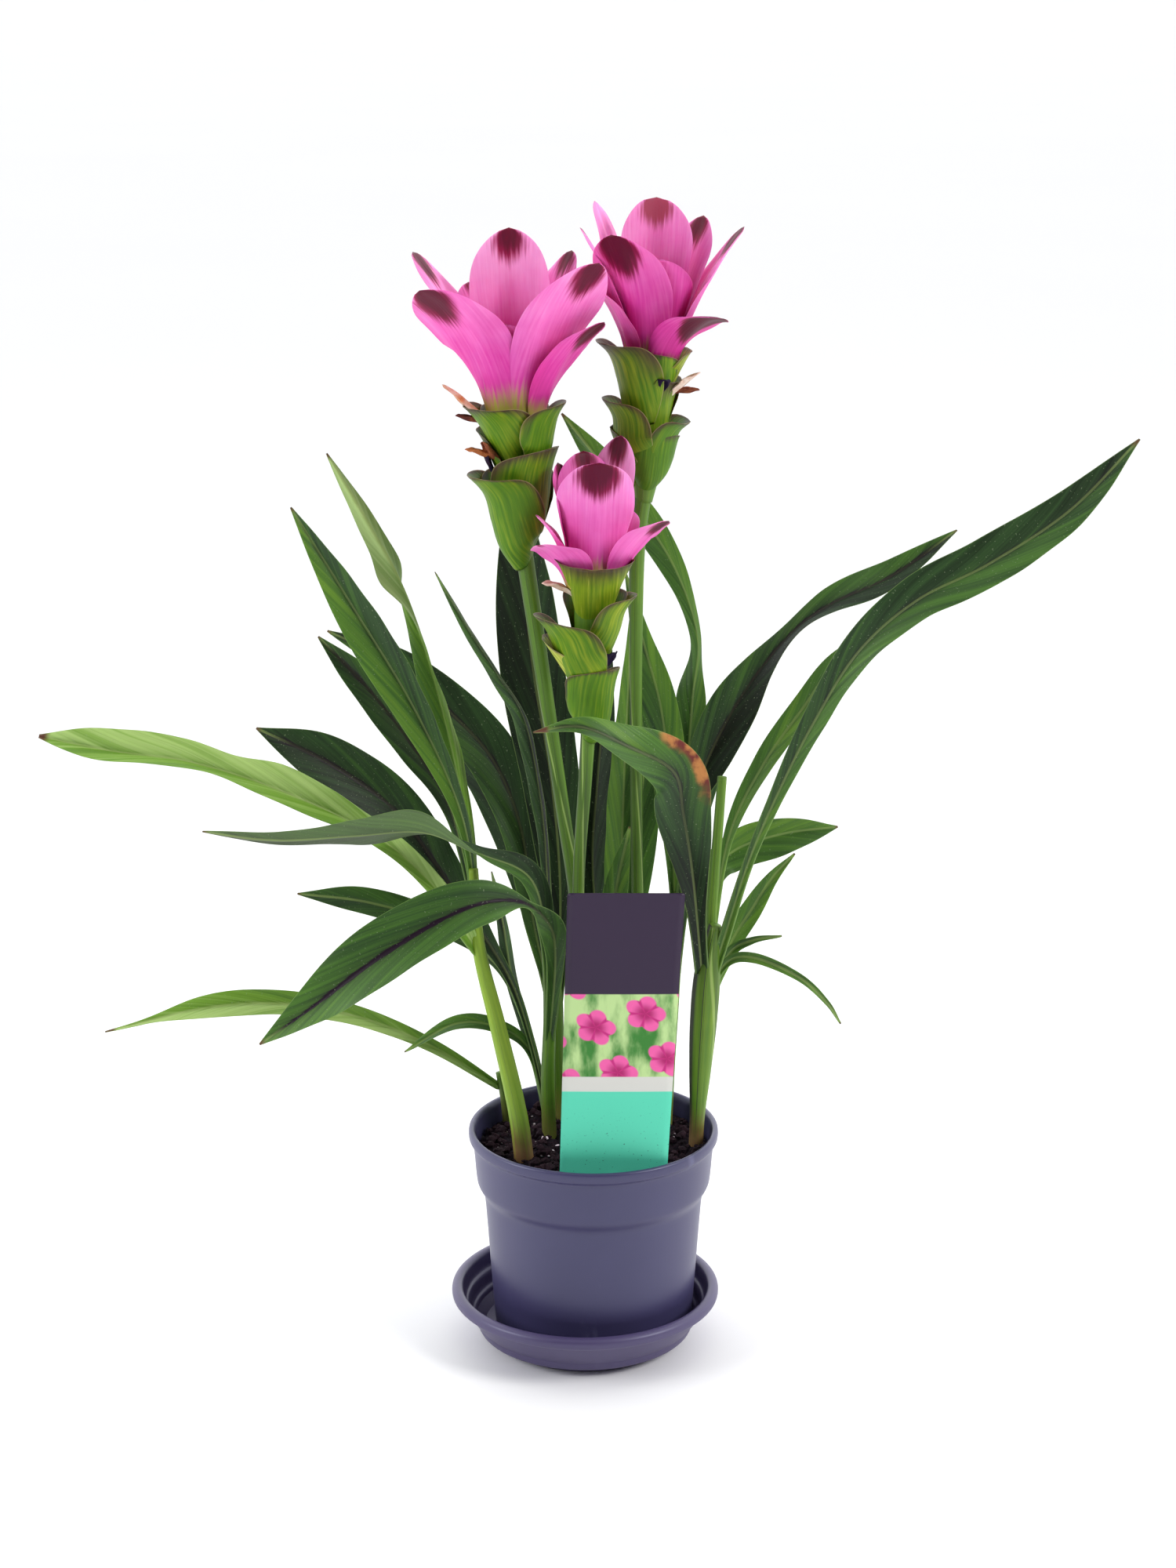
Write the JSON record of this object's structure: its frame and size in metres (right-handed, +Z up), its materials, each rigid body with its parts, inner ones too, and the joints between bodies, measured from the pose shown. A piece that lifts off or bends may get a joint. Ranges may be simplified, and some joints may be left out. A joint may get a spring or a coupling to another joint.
{
  "type": "potted curcuma",
  "caption": "Curcuma house plant in flower, with pleated leaves and pink bracts on green spikes, growing in a round plastic pot that stands on a saucer, with a plant label.",
  "frame": {"origin": "the centre of the saucer's underside, on the surface that it stands on", "axes": "+Z up; -Y is the front, where the label stands; +X to the right as seen from the front"},
  "size_m": [0.4915, 0.236, 0.5452],
  "materials": {
    "saucer_plastic": "satin",
    "pot_plastic": "satin",
    "peat": "matte",
    "label_card": "satin",
    "lime_leaf": "satin",
    "green_leaf": "satin",
    "green_bract": "satin",
    "pink_bract": "satin"
  },
  "bodies": {
    "root": {"saucer": "saucer_plastic", "pot": "pot_plastic", "soil": "peat", "label": "label_card", "shoot_left": "lime_leaf", "shoot_low_left": "lime_leaf", "shoot_right": "lime_leaf", "shoot_middle": "green_leaf", "shoot_back": "green_leaf", "shoot_centre": "green_leaf", "shoot_back_right": "green_leaf", "flower_stem_left": "green_bract", "flower_stem_right": "green_bract", "flower_stem_low": "green_bract", "flower_left": "pink_bract", "flower_right": "pink_bract", "flower_low": "pink_bract"}
  },
  "joints": []
}
